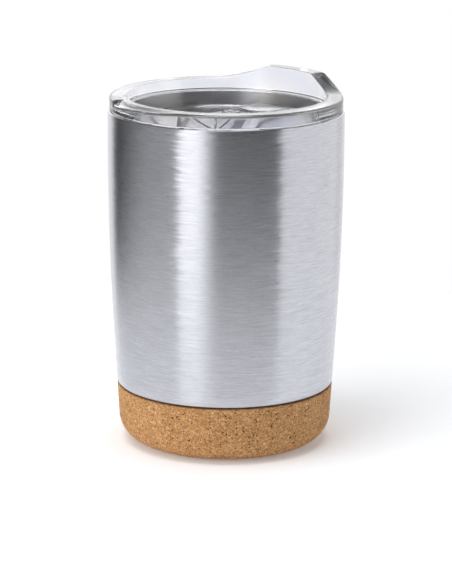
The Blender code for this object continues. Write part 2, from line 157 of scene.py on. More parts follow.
# Slider
SLIDER_TRAVEL = 13.5 * MM
PLATE_EDGE = 0.25 * MM
PLATE_TOP = SLIDER_LOW.z + 0.9 * MM
PLATE_MIDDLE = SLIDER_LOW.z + 0.45 * MM
PAD_HALF_WIDTH = 6.5 * MM
PAD_START = 14.5 * MM
PAD_INSET = 0.5 * MM
PAD_HEIGHT = 1.0 * MM
PAD_EDGE = 0.4 * MM
GRIP_HALF_WIDTH = 4 * MM
GRIP_START = 1.9 * MM
GRIP_END = 4.1 * MM
GRIP_EDGE = 0.5 * MM
RIB_HALF_WIDTH = 3.5 * MM
RIB_HALF_LENGTH = 0.35 * MM
RIB_HEIGHT = 0.35 * MM
RIB_EDGE = 0.15 * MM
RIB_START = 7.0 * MM
RIB_PITCH = 2.0 * MM
RIB_COUNT = 3

# Rails for the slider, sunk into the deck
RAIL_GAP = 0.35 * MM
RAIL_WIDTH = 1.2 * MM
RAIL_FRONT_GAP = 0.4 * MM
RAIL_BACK_GAP = 0.5 * MM
RAIL_SUNK = 0.7 * MM
RAIL_EDGE = 0.22 * MM
LIP_GAP = 0.3 * MM
LIP_OVERHANG = 1.2 * MM
LIP_THICKNESS = 0.6 * MM
OPENING_REACH = 3 * MM
CUTTER_EDGE = 0.05 * MM

# Gasket
SEAL_GAP = 0.3 * MM
SEAL_LIP = 0.9 * MM
SEAL_LIP_RADIUS = 0.12 * MM
SEAL_LIP_INSET = 0.45 * MM
SEAL_WAIST_RADIUS = 0.15 * MM

# Columns round the turned pieces
PLAIN_COLUMNS = 192
WALL_COLUMNS = 288
CORK_COLUMNS = 640

# Studio: a round table top, just under the cup, with a faint glow, and the light of the dark room
FLOOR_RADIUS = 0.235
FLOOR_DROP = 0.05 * MM
TABLE_GLOW = 0.17
DARK_ROOM = 0.042

# Soft panels round the cup: left and right ends as azimuths seen from the camera (right
# positive), each end's softness, lowest and highest elevation, all in degrees, then brightness
PANELS = (
    ("back_wall", 152, 218, 14, 8, -60, 26, 0.95),
    ("back_top", 142, 224, 16, 12, 8, 34, 0.85),
    ("right_wall", 55, 148, 3, 18, -60, 40, 0.97),
    ("key", -47, -18.5, 4, 12.5, -60, 62, 1.75),
    ("left_fill", -104, -44, 34, 6, -60, 40, 0.3),
    ("overhead", -180, 180, 1, 1, 72, 91, 4.2),
)
PANEL_EDGE = 12

# Soft lamps on the left light the cork and give the floor its shadow: azimuth from the camera
# and elevation in degrees, width in metres and power in watts
LAMPS = (
    ("high_lamp", -62, 68, 0.55, 2.6),
    ("side_lamp", -64, 15, 0.6, 3.6),
)
LAMP_DISTANCE = 1.0


# ---------------------------------------------------------------- mesh helpers

def shade(mesh, angle=35):
    mesh.shade_smooth()
    mesh.set_sharp_from_angle(angle=math.radians(angle))


def new_object(name, data):
    thing = bpy.data.objects.new(name, data)
    bpy.context.scene.collection.objects.link(thing)
    return thing


def add_piece(name, mesh, body, nodes, material):
    piece = new_object(name, mesh)
    mesh.materials.clear()
    mesh.materials.append(material)
    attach(piece, body)
    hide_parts(*nodes)


def lathe(name, angles, section, closed):
    """Skins the sections at the given angles about +Z. A section runs down its outer side."""
    mesh = bpy.data.meshes.new(name)
    solid = bmesh.new()
    on_axis = {}
    columns = []
    for angle in angles:
        column = []
        for index, (radius, z) in enumerate(section(angle)):
            if radius == 0:
                if index not in on_axis:
                    on_axis[index] = solid.verts.new((0, 0, z))
                column.append(on_axis[index])
            else:
                column.append(solid.verts.new((radius * math.cos(angle), radius * math.sin(angle), z)))
        if closed:
            column.append(column[0])
        columns.append(column)
    for left, right in zip(columns, columns[1:] + columns[:1]):
        for index in range(len(left) - 1):
            corners = [left[index], left[index + 1], right[index + 1], right[index]]
            unique = list(dict.fromkeys(corners))
            if len(unique) > 2:
                solid.faces.new(unique)
    solid.to_mesh(mesh)
    solid.free()
    shade(mesh)
    return mesh


def ring_angles(count):
    return [2 * math.pi * step / count for step in range(count)]


def spaced(low, high, count):
    return [low + (high - low) * step / count for step in range(count + 1)]


def arc(centre, radius, start, end, count):
    """Points on an arc in the section plane, with angles in degrees from outward, up positive."""
    points = []
    for angle in spaced(math.radians(start), math.radians(end), count):
        points.append((centre[0] + radius * math.cos(angle), centre[1] + radius * math.sin(angle)))
    return points


def smoothstep(value, low, high):
    ratio = min(max((value - low) / (high - low), 0.0), 1.0)
    return ratio * ratio * (3 - 2 * ratio)


def combined(base, cutter_meshes):
    """Applies (operation, mesh) pairs to a base mesh with exact Booleans."""
    piece = new_object("combining", base)
    cutters = []
    for operation, mesh in cutter_meshes:
        cutter = new_object("combining_cutter", mesh)
        cutters.append(cutter)
        modifier = piece.modifiers.new("step", "BOOLEAN")
        modifier.operation = operation
        modifier.solver = "EXACT"
        modifier.object = cutter
    bpy.context.view_layer.update()
    graph = bpy.context.evaluated_depsgraph_get()
    mesh = bpy.data.meshes.new_from_object(piece.evaluated_get(graph))
    for scratch in (piece, *cutters):
        bpy.data.objects.remove(scratch)
    return mesh


def rounded_box(low, high, radius, segments=3):
    """A box with all its edges rounded."""
    mesh = bpy.data.meshes.new("rounded_box")
    size = [high[axis] - low[axis] for axis in range(3)]
    centre = [(high[axis] + low[axis]) / 2 for axis in range(3)]
    cube = bmesh.new()
    place = Matrix.Translation(centre) @ Matrix.Diagonal((*size, 1))
    bmesh.ops.create_cube(cube, size=1, matrix=place)
    bmesh.ops.bevel(
        cube, geom=cube.edges[:], offset=radius, segments=segments, profile=0.5, affect="EDGES"
    )
    cube.to_mesh(mesh)
    cube.free()
    return mesh


def slot_mesh(width, depth, centre_y):
    """An upright slot with round ends that cuts through the deck."""
    mesh = bpy.data.meshes.new("slot")
    solid = bmesh.new()
    low = DECK_LOW - MM
    high = DECK_Z + MM
    radius = depth / 2
    reach = width / 2 - radius
    corners = []
    for side in (1, -1):
        for angle in spaced(-math.pi / 2, math.pi / 2, 16):
            x = side * (reach + radius * math.cos(angle))
            corners.append(solid.verts.new((x, centre_y + side * radius * math.sin(angle), low)))
    floor = solid.faces.new(corners)
    lifted = bmesh.ops.extrude_face_region(solid, geom=[floor])
    verts = [item for item in lifted["geom"] if isinstance(item, bmesh.types.BMVert)]
    bmesh.ops.translate(solid, verts=verts, vec=(0, 0, high - low))
    bmesh.ops.recalc_face_normals(solid, faces=solid.faces[:])
    solid.to_mesh(mesh)
    solid.free()
    return mesh


# ---------------------------------------------------------------- node helpers

class Nodes:
    """Short calls for building a material's or world's node tree."""

    def __init__(self, tree):
        self.tree = tree

    def add(self, kind, **settings):
        node = self.tree.nodes.new(kind)
        for name, value in settings.items():
            setattr(node, name, value)
        return node

    def link(self, source, target):
        self.tree.links.new(source, target)

    def feed(self, socket, value):
        """Links a node's output into a socket, or sets the socket to a constant."""
        if isinstance(value, bpy.types.NodeSocket):
            self.link(value, socket)
        else:
            socket.default_value = value

    def math(self, operation, *values):
        node = self.add("ShaderNodeMath", operation=operation)
        for socket, value in zip(node.inputs, values):
            self.feed(socket, value)
        return node.outputs[0]

    def weighted_sum(self, *pairs):
        total = 0.0
        for value, weight in pairs:
            total = self.math("ADD", self.math("MULTIPLY", value, weight), total)
        return total

    def vector_math(self, operation, *values):
        node = self.add("ShaderNodeVectorMath", operation=operation)
        for socket, value in zip(node.inputs, values):
            self.feed(socket, value)
        return node.outputs[0]

    def scaled(self, vector, factor):
        node = self.add("ShaderNodeVectorMath", operation="SCALE")
        self.feed(node.inputs[0], vector)
        self.feed(node.inputs["Scale"], factor)
        return node.outputs[0]

    def noise(self, vector, scale, detail=2.0, roughness=0.5, output="Fac"):
        """Noise whose scale is per metre, as for cells."""
        node = self.add("ShaderNodeTexNoise")
        self.link(vector, node.inputs["Vector"])
        node.inputs["Scale"].default_value = scale
        node.inputs["Detail"].default_value = detail
        node.inputs["Roughness"].default_value = roughness
        return node.outputs[output]

    def cells(self, vector, scale, feature="F1"):
        node = self.add("ShaderNodeTexVoronoi", feature=feature)
        self.link(vector, node.inputs["Vector"])
        node.inputs["Scale"].default_value = scale
        return node

    def span(self, value, low, high, to_low=0.0, to_high=1.0, smooth=True):
        """Maps a value's range onto another and holds it there beyond the ends."""
        node = self.add("ShaderNodeMapRange")
        node.interpolation_type = "SMOOTHSTEP" if smooth else "LINEAR"
        self.feed(node.inputs["Value"], value)
        node.inputs["From Min"].default_value = low
        node.inputs["From Max"].default_value = high
        node.inputs["To Min"].default_value = to_low
        node.inputs["To Max"].default_value = to_high
        return node.outputs["Result"]

    def mix(self, factor, first, second):
        node = self.add("ShaderNodeMix", data_type="RGBA")
        self.feed(node.inputs[0], factor)
        self.feed(node.inputs[6], first)
        self.feed(node.inputs[7], second)
        return node.outputs[2]

    def bump(self, height, strength, distance):
        node = self.add("ShaderNodeBump")
        node.inputs["Strength"].default_value = strength
        node.inputs["Distance"].default_value = distance
        self.link(height, node.inputs["Height"])
        return node.outputs["Normal"]


def new_material(name):
    material = bpy.data.materials.new(name)
    material.use_nodes = True
    nodes = Nodes(material.node_tree)
    shader = material.node_tree.nodes["Principled BSDF"]
    place = nodes.add("ShaderNodeTexCoord").outputs["Object"]
    return material, nodes, shader, place


def rgb(red, green, blue):
    """An sRGB colour, 0 to 255, as linear RGBA."""
    linear = []
    for value in (red, green, blue):
        share = value / 255
        linear.append(share / 12.92 if share <= 0.04045 else ((share + 0.055) / 1.055) ** 2.4)
    return (*linear, 1.0)


# ---------------------------------------------------------------- materials

def brush_marks(nodes, place, around, upward, roughness=0.6):
    """Noise drawn out into short marks round the wall, by its scales round it and up it."""
    stretched = nodes.vector_math("MULTIPLY", place, (around, around, upward))
    return nodes.noise(stretched, 1.0, roughness=roughness)


def brushed_steel(name, colour, roughness, anisotropic, streak, sway):
    """Steel brushed round the wall. Its marks differ in tone by streak and lean sideways by sway."""
    material, nodes, shader, place = new_material(name)
    marks = brush_marks(nodes, place, 260, 4200, roughness=0.55)
    fine_marks = brush_marks(nodes, place, 520, 9000)
    long_marks = brush_marks(nodes, place, 120, 2300)
    pooled = nodes.weighted_sum((marks, 0.3), (fine_marks, 0.25), (long_marks, 0.45))
    tone = nodes.span(pooled, 0.36, 0.64, 1.0 - streak, 1.0 + streak * 0.5, smooth=False)
    nodes.link(nodes.scaled(colour[:3], tone), shader.inputs["Base Color"])
    rough = nodes.span(marks, 0.3, 0.7, roughness * 0.9, roughness * 1.1, smooth=False)
    nodes.link(rough, shader.inputs["Roughness"])
    shader.inputs["Metallic"].default_value = 1.0
    shader.inputs["Anisotropic"].default_value = anisotropic
    shader.inputs["Anisotropic Rotation"].default_value = 0.25
    tangent = nodes.add("ShaderNodeTangent", direction_type="RADIAL", axis="Z").outputs[0]
    nodes.link(tangent, shader.inputs["Tangent"])
    lean = nodes.span(long_marks, 0.3, 0.7, -sway, sway, smooth=False)
    normal = nodes.add("ShaderNodeNewGeometry").outputs["Normal"]
    tilted = nodes.vector_math("ADD", normal, nodes.scaled(tangent, lean))
    nodes.link(nodes.vector_math("NORMALIZE", tilted), shader.inputs["Normal"])
    return material


def dull_metal(name, colour, roughness):
    material, nodes, shader, place = new_material(name)
    mottle = nodes.noise(place, 900, detail=4.0)
    darker = (*(share * 0.7 for share in colour[:3]), 1)
    nodes.link(nodes.mix(mottle, colour, darker), shader.inputs["Base Color"])
    nodes.link(nodes.span(mottle, 0.3, 0.7, roughness * 0.8, roughness * 1.2), shader.inputs["Roughness"])
    shader.inputs["Metallic"].default_value = 1.0
    nodes.link(nodes.bump(mottle, 0.3, 0.05 * MM), shader.inputs["Normal"])
    return material


def dark_bond(name):
    material, nodes, shader, place = new_material(name)
    grain = nodes.noise(place, 1400, detail=3.0)
    nodes.link(nodes.mix(grain, rgb(24, 22, 20), rgb(52, 46, 40)), shader.inputs["Base Color"])
    shader.inputs["Roughness"].default_value = 0.8
    nodes.link(nodes.bump(grain, 0.4, 0.1 * MM), shader.inputs["Normal"])
    return material


def pressed_cork(name):
    """Fine cork crumbs in mixed tones, with bark specks, pale chips and small pits."""
    material, nodes, shader, place = new_material(name)
    wobble = nodes.noise(place, 900, output="Color")
    where = nodes.vector_math("MULTIPLY_ADD", wobble, (0.6 * MM, 0.6 * MM, 0.6 * MM), place)

    def crumbs(scale):
        """Cells of one size, and three random values that stay the same over each cell."""
        cells = nodes.cells(where, scale)
        split = nodes.add("ShaderNodeSeparateColor")
        nodes.link(cells.outputs["Color"], split.inputs[0])
        return cells.outputs["Distance"], split.outputs

    cloudy = nodes.noise(place, 120, detail=3.0)
    toned = nodes.mix(nodes.span(cloudy, 0.35, 0.65), rgb(186, 135, 84), rgb(198, 149, 98))
    lump_tone = crumbs(820)[1]
    toned = nodes.mix(nodes.span(lump_tone[0], 0.1, 0.9, 0, 0.22), toned, rgb(146, 98, 56))
    crumb_tone = crumbs(1900)[1]
    toned = nodes.mix(nodes.span(crumb_tone[0], 0.68, 0.9, 0, 0.6), toned, rgb(140, 93, 54))
    toned = nodes.mix(nodes.span(crumb_tone[1], 0.74, 0.92, 0, 0.55), toned, rgb(232, 190, 136))
    dust_tone = crumbs(3300)[1]
    toned = nodes.mix(nodes.span(dust_tone[0], 0.74, 0.95, 0, 0.6), toned, rgb(112, 72, 42))
    toned = nodes.mix(nodes.span(dust_tone[1], 0.8, 0.95, 0, 0.45), toned, rgb(238, 200, 150))
    specks = 0.0
    for scale, rarity, size in ((560, 0.95, 0.38), (1150, 0.85, 0.46)):
        distance, speck_tone = crumbs(scale)
        chosen = nodes.span(speck_tone[0], rarity, rarity + 0.02)
        near = nodes.span(distance, size * 0.55, size, 1, 0)
        specks = nodes.math("MAXIMUM", nodes.math("MULTIPLY", chosen, near), specks)
    toned = nodes.mix(nodes.math("MULTIPLY", specks, 0.9), toned, rgb(70, 42, 27))
    distance, chip_tone = crumbs(760)
    chosen = nodes.span(chip_tone[1], 0.955, 0.97)
    pale = nodes.math("MULTIPLY", chosen, nodes.span(distance, 0.18, 0.34, 1, 0))
    toned = nodes.mix(nodes.math("MULTIPLY", pale, 0.75), toned, rgb(244, 218, 178))
    nodes.link(toned, shader.inputs["Base Color"])
    shader.inputs["Roughness"].default_value = 0.86
    shader.inputs["Specular IOR Level"].default_value = 0.3
    edges = nodes.cells(where, 1900, feature="DISTANCE_TO_EDGE")
    seam = nodes.span(edges.outputs["Distance"], 0.0, 0.1, 1, 0)
    grain = nodes.noise(place, 3000, detail=3.0)
    relief = nodes.weighted_sum((seam, -0.5), (specks, -1.0), (crumb_tone[2], 0.3), (grain, 1.0))
    nodes.link(nodes.bump(relief, 0.6, 0.1 * MM), shader.inputs["Normal"])
    return material


def clear_plastic(name, colour, roughness, clarity):
    """Clear moulded plastic with a faint flow ripple and slight handling haze."""
    material, nodes, shader, place = new_material(name)
    ripple = nodes.noise(place, 60, detail=1.0)
    haze = nodes.noise(place, 420, detail=4.0, roughness=0.6)
    tint = nodes.mix(nodes.span(ripple, 0.3, 0.7), colour, (1.0, 1.0, 1.0, 1.0))
    nodes.link(tint, shader.inputs["Base Color"])
    nodes.link(nodes.span(haze, 0.35, 0.8, roughness * 0.6, roughness * 1.6), shader.inputs["Roughness"])
    shader.inputs["Transmission Weight"].default_value = clarity
    shader.inputs["IOR"].default_value = 1.56
    nodes.link(nodes.bump(ripple, 0.15, 0.25 * MM), shader.inputs["Normal"])
    return material


def silicone(name):
    material, nodes, shader, place = new_material(name)
    cloud = nodes.noise(place, 260, detail=3.0)
    nodes.link(nodes.mix(cloud, rgb(226, 230, 236), rgb(244, 246, 250)), shader.inputs["Base Color"])
    nodes.link(nodes.span(cloud, 0.3, 0.7, 0.3, 0.42), shader.inputs["Roughness"])
    shader.inputs["Transmission Weight"].default_value = 0.7
    shader.inputs["IOR"].default_value = 1.41
    nodes.link(nodes.bump(cloud, 0.2, 0.1 * MM), shader.inputs["Normal"])
    return material


def pale_floor(name):
    material, nodes, shader, place = new_material(name)
    tooth = nodes.noise(place, 700, detail=3.0)
    pale = nodes.mix(tooth, (0.88, 0.892, 0.908, 1), (0.91, 0.922, 0.938, 1))
    nodes.link(pale, shader.inputs["Base Color"])
    shader.inputs["Roughness"].default_value = 0.9
    shader.inputs["Specular IOR Level"].default_value = 0.1
    shader.inputs["Emission Color"].default_value = (1, 1, 1, 1)
    shader.inputs["Emission Strength"].default_value = TABLE_GLOW
    return material


# ---------------------------------------------------------------- steel pieces

def barrel_radius(z):
    """Outer radius of the steel wall, as in the CAD model."""
    depth = RIM_Z - z
    full = RIM_Z - SHOULDER_Z
    curve = (RIM_RADIUS + BARREL_SLOPE * full - FOOT_RADIUS) / full**2
    return RIM_RADIUS + BARREL_SLOPE * depth - curve * depth**2


def shell_section(_angle):
    """The hemmed rim, the barrel wall, the shoulder over the cork and the foot inside it."""
    heights = spaced(RIM_Z - RIM_EDGE, SHOULDER_Z + SHOULDER_ROUNDING, 48)
    wall = [(barrel_radius(z), z) for z in heights]
    points = arc((HEM_INNER_RADIUS + HEM_EDGE, RIM_Z - HEM_EDGE), HEM_EDGE, 180, 90, 4)
    points += arc((wall[0][0] - RIM_EDGE, RIM_Z - RIM_EDGE), RIM_EDGE, 90, 0, 8)
    points += wall[1:]
    corner = barrel_radius(SHOULDER_Z) - SHOULDER_ROUNDING
    points += arc((corner, SHOULDER_Z + SHOULDER_ROUNDING), SHOULDER_ROUNDING, 0, -90, 6)[1:]
    points += [(FOOT_WALL_RADIUS + FOOT_BEVEL, SHOULDER_Z), (FOOT_WALL_RADIUS, SHOULDER_Z - FOOT_BEVEL)]
    foot_inner = FOOT_WALL_RADIUS - SHELL_WALL
    points += [(FOOT_WALL_RADIUS, SHELL_LOW.z), (foot_inner, SHELL_LOW.z)]
    points += [(foot_inner, SHOULDER_Z + SHELL_WALL)]
    for radius, z in reversed(wall):
        if SHOULDER_Z + MM < z < RIM_Z - HEM_RUN_OUT:
            points.append((radius - SHELL_WALL, z))
    points += [(HEM_INNER_RADIUS, RIM_Z - HEM_DEPTH)]
    return points


def make_shell(material):
    mesh = lathe("outer_shell_wall", ring_angles(WALL_COLUMNS), shell_section, closed=True)
    add_piece("outer_shell_wall", mesh, "cup", ["outer_shell"], material)


def liner_radius(z):
    """Outer radius of the liner: a straight seat for the lid, then a wall that follows the shell's."""
    seat = MOUTH_BORE + LINER_WALL
    below = barrel_radius(z) - SHELL_WALL - VACUUM_GAP
    ease = smoothstep(RIM_Z - z - SEAT_DEPTH, 0, SEAT_BLEND)
    return seat + (below - seat) * ease


def liner_section(_angle):
    """From the axis up the liner's inner face, over its rounded lip and down its outer face."""
    lip_radius = LINER_WALL / 2
    lip_z = LINER_HIGH.z - lip_radius
    straight = LINER_LOW.z + LINER_CORNER
    seat_end = RIM_Z - SEAT_DEPTH
    heights = spaced(lip_z, seat_end, 4)
    heights += spaced(seat_end, seat_end - SEAT_BLEND, 8)[1:]
    heights += spaced(seat_end - SEAT_BLEND, straight, 24)[1:]
    outside = [(liner_radius(z), z) for z in heights]
    inside = [(radius - LINER_WALL, z) for radius, z in outside]
    centre = outside[-1][0] - LINER_CORNER
    outside += arc((centre, straight), LINER_CORNER, 0, -90, 16)[1:]
    inside += arc((centre, straight), LINER_CORNER - LINER_WALL, 0, -90, 16)[1:]
    lip = liner_radius(LINER_HIGH.z) - lip_radius
    crown = arc((lip, lip_z), lip_radius, 180, 0, 6)[1:-1]
    floor = LINER_LOW.z + LINER_WALL
    return [(0, floor)] + list(reversed(inside)) + crown + outside + [(0, LINER_LOW.z)]


def make_liner(material):
    mesh = lathe("inner_liner_wall", ring_angles(PLAIN_COLUMNS), liner_section, closed=False)
    add_piece("inner_liner_wall", mesh, "cup", ["inner_liner"], material)


# ---------------------------------------------------------------- cork

def cork_relief(point):
    """Height of the granules' relief at one place, negative into the cork: lumps, grit and pits."""
    lump = noise.noise(point * 700) * 0.6 + noise.noise(point * 1500) * 0.4
    pit = max(noise.noise(point * 520 + Vector((7, 3, 5))) - 0.38, 0) * 2.2
    return CORK_RELIEF * (lump - pit)


def edge_wear(angle):
    """How far the cork's top edge is worn away, at an angle: broad chips and fine ones."""
    chip = max(noise.noise(Vector((math.cos(angle), math.sin(angle), 0)) * 42) - 0.2, 0)
    fine_chip = abs(noise.noise(Vector((math.cos(angle), math.sin(angle), 2)) * 110))
    return CORK_CHIP * (0.9 * chip + 0.35 * fine_chip)


def cork_section(angle):
    """The recess for the steel's foot, the worn top edge, the wall and the rounded bottom edge."""
    top = CORK_HIGH.z
    crown = CORK_HIGH.x
    wear = edge_wear(angle)
    points = [(0, CORK_FLOOR), (CORK_BORE - CORK_CORNER, CORK_FLOOR), (CORK_BORE, CORK_FLOOR + CORK_CORNER)]
    points += [(CORK_BORE, top - CORK_BEVEL), (CORK_BORE + CORK_BEVEL, top)]
    worn = crown - CORK_EDGE - wear
    points += [(worn - CORK_EDGE_FLAT, top), (worn, top - CORK_EDGE_DIP)]
    points += arc((crown - CORK_EDGE - wear * 0.6, top - CORK_EDGE - wear), CORK_EDGE, 80, 0, 5)
    taper = (crown - CORK_LOW_RADIUS) / (top - CORK_EDGE - CORK_ROUNDING)
    for z in spaced(top - CORK_EDGE - wear - CORK_EDGE_BLEND, CORK_ROUNDING, 34):
        points.append((CORK_LOW_RADIUS + taper * (z - CORK_ROUNDING), z))
    points += arc((CORK_FLAT_RADIUS, CORK_ROUNDING), CORK_ROUNDING, 0, -90, 30)[1:]
    points += [(CORK_FLAT_RADIUS * share, 0) for share in (0.97, 0.9, 0.7, 0.4, 0)]
    return points


def make_cork(material):
    """The turned cork with the granules' relief on its outer faces, held within its widest radius."""
    mesh = lathe("cork_base_cup", ring_angles(CORK_COLUMNS), cork_section, closed=False)
    widest = -CORK_LOW.x
    for vertex in mesh.vertices:
        radius = math.hypot(vertex.co.x, vertex.co.y)
        on_wall = radius > CORK_BORE + CORK_CORNER
        on_rounding = vertex.co.z < CORK_ROUNDING and radius > CORK_FLAT_RADIUS
        if vertex.co.z > CORK_STILL_HEIGHT and (on_wall or on_rounding):
            centre = Vector((0, 0, max(vertex.co.z, CORK_ROUNDING)))
            outward = (vertex.co - centre).normalized()
            moved = vertex.co + outward * cork_relief(vertex.co)
            reach = math.hypot(moved.x, moved.y)
            if reach > widest:
                moved.x *= widest / reach
                moved.y *= widest / reach
            vertex.co = moved
    shade(mesh, 60)
    add_piece("cork_base_cup", mesh, "cup", ["cork_base"], material)


# ---------------------------------------------------------------- lid

def mouth_lift(away):
    """Rise of the rim at an angle from the mouthpiece's middle."""
    if away <= MOUTH_FLAT:
        return MOUTH_RISE
    if away >= MOUTH_END:
        return 0.0
    left = (MOUTH_END - away) / (MOUTH_END - MOUTH_FLAT)
    return MOUTH_RISE * left**MOUTH_EASE


def soft_lift(away):
    """The same rise with its crest rounded over a degree or two."""
    return sum(mouth_lift(abs(away + step * CREST_SPREAD)) for step in (-1, 0, 1)) / 3


def cut_share(angle):
    """The thumb cut's depth as a share of its full depth: a ramp, then a step up at its deep end."""
    along = (CUT_SHALLOW_END - angle) / (CUT_SHALLOW_END - CUT_DEEP_END)
    ramp = min(max(along, 0), 1)**CUT_EASE
    return ramp * smoothstep(angle, CUT_DEEP_END - CUT_STEP, CUT_DEEP_END + CUT_STEP)


def lid_top(angle):
    """From the axis over the deck, up the well and over the flange to its outer edge."""
    top = FLANGE_TOP + soft_lift(abs((angle - MOUTH_MIDDLE + math.pi) % (2 * math.pi) - math.pi))
    lean = 90 - math.degrees(math.atan2(top - DECK_Z, WELL_TOP_RADIUS - WELL_FLOOR_RADIUS))
    corner = WELL_FLOOR_RADIUS - WELL_CORNER
    points = [(0, DECK_Z)] + [(corner - inset, DECK_Z) for inset in DECK_RINGS]
    points += arc((corner, DECK_Z + WELL_CORNER), WELL_CORNER, -90, -lean, 6)
    points += arc((WELL_TOP_RADIUS + WELL_EDGE, top - WELL_EDGE), WELL_EDGE, 180 - lean, 90, 6)
    slope = cut_share(angle) * CUT_EDGE_DROP / (LID_RADIUS - CUT_INNER_RADIUS)
    for radius in spaced(WELL_TOP_RADIUS + 2 * WELL_EDGE, LID_RADIUS - TOP_FILLET, 6):
        points.append((radius, top - slope * max(radius - CUT_INNER_RADIUS, 0)))
    tilt = math.atan(slope)
    radius, z = points[-1]
    centre = (radius - TOP_FILLET * math.sin(tilt), z - TOP_FILLET * math.cos(tilt))
    rounding = arc(centre, TOP_FILLET, 90 - math.degrees(tilt), 0, 8)[1:]
    shift = LID_RADIUS - rounding[-1][0]
    return points + [(radius + shift, z) for radius, z in rounding]


def lid_underside():
    """From the flange's outer edge under it, down the plug and skirt, and back inside to the axis."""
    points = arc((LID_RADIUS - FLANGE_FILLET, FLANGE_UNDER + FLANGE_FILLET), FLANGE_FILLET, 0, -90, 6)
    points += [(PLUG_RADIUS + PLUG_FILLET, FLANGE_UNDER)]
    points += arc((PLUG_RADIUS + PLUG_FILLET, FLANGE_UNDER - PLUG_FILLET), PLUG_FILLET, 90, 180, 5)[1:]
    points += [(PLUG_RADIUS, DECK_LOW), (SKIRT_RADIUS - SKIRT_BEVEL, DECK_LOW)]
    points += [(SKIRT_RADIUS, DECK_LOW - SKIRT_BEVEL), (SKIRT_RADIUS, GROOVE_TOP_Z)]
    points += [(GROOVE_RADIUS, GROOVE_TOP_Z), (GROOVE_RADIUS, GROOVE_LOW_Z), (SKIRT_RADIUS, GROOVE_LOW_Z)]
    skirt_end = SKIRT_Z + SKIRT_FILLET
    points += arc((SKIRT_RADIUS - SKIRT_FILLET, skirt_end), SKIRT_FILLET, 0, -90, 3)[1:]
    points += arc((SKIRT_BORE + SKIRT_DRAFT + SKIRT_FILLET, skirt_end), SKIRT_FILLET, -90, -180, 3)
    points += arc((SKIRT_BORE - SKIRT_ROOT, DECK_LOW - SKIRT_ROOT), SKIRT_ROOT, 0, 90, 4)
    return points + [(SKIRT_BORE - DECK_RINGS[0], DECK_LOW), (0, DECK_LOW)]


def lid_section(angle):
    return lid_top(angle) + lid_underside()


def lid_mesh():
    """The turned lid, with close columns where the thumb cut steps up."""
    angles = [angle for angle in ring_angles(WALL_COLUMNS) if abs(angle - CUT_DEEP_END) > 1.5 * CUT_STEP]
    angles += spaced(CUT_DEEP_END - CUT_STEP, CUT_DEEP_END + CUT_STEP, CUT_STEP_COLUMNS)
    angles.sort()
    return lathe("lid_shell", angles, lid_section, closed=False)


def rails_mesh():
    """The rails' frame, without its undercut track and the opening between its lips."""
    inner = SLIDER_HIGH.x + RAIL_GAP
    outer = inner + RAIL_WIDTH
    lip = inner - LIP_OVERHANG
    front = SLIDER_HIGH.y + RAIL_FRONT_GAP
    back = SLIDER_LOW.y - SLIDER_TRAVEL - RAIL_BACK_GAP
    track_top = PLATE_TOP + LIP_GAP
    top = track_top + LIP_THICKNESS
    solid = rounded_box(
        (-outer, back - RAIL_WIDTH, DECK_Z - RAIL_SUNK), (outer, front + RAIL_WIDTH, top), RAIL_EDGE
    )
    track = rounded_box((-inner, back, DECK_Z), (inner, front, track_top), CUTTER_EDGE, 1)
    opening = rounded_box((-lip, back, DECK_Z), (lip, front, top + OPENING_REACH), CUTTER_EDGE, 1)
    return combined(solid, [("DIFFERENCE", track), ("DIFFERENCE", opening)])


def make_lid(material):
    hole = slot_mesh(HOLE_WIDTH, HOLE_DEPTH, HOLE_Y)
    vent = slot_mesh(VENT_WIDTH + LEAST_STRAIGHT, VENT_WIDTH, VENT_Y)
    steps = [("UNION", rails_mesh()), ("DIFFERENCE", hole), ("DIFFERENCE", vent)]
    mesh = combined(lid_mesh(), steps)
    mesh.name = "lid_moulding"
    shade(mesh, 30)
    add_piece("lid_moulding", mesh, "lid", ["lid_body"], material)


def seal_section(_angle):
    """Two rounded lips with a waist between them, on a band that sits in the groove."""
    inner = GROOVE_RADIUS + SEAL_GAP
    waist = GASKET_HIGH.x - SEAL_LIP
    lip = GASKET_HIGH.x - SEAL_LIP_RADIUS
    high = GASKET_HIGH.z
    low = GASKET_LOW.z
    points = [(inner, high), (waist, high)]
    points += arc((lip, high - SEAL_LIP_INSET), SEAL_LIP_RADIUS, 80, -80, 4)
    points += arc((waist + SEAL_WAIST_RADIUS, (high + low) / 2), SEAL_WAIST_RADIUS, 120, 240, 4)
    points += arc((lip, low + SEAL_LIP_INSET), SEAL_LIP_RADIUS, 80, -80, 4)
    return points + [(waist, low), (inner, low)]


def make_gasket(material):
    mesh = lathe("lid_seal_ring", ring_angles(PLAIN_COLUMNS), seal_section, closed=True)
    add_piece("lid_seal_ring", mesh, "lid", ["lid_gasket"], material)


def plate_block(half_width, start, end, top, radius, segments):
    """A rounded block across the slider's plate, rooted in the plate's middle."""
    return rounded_box((-half_width, start, PLATE_MIDDLE), (half_width, end, top), radius, segments)


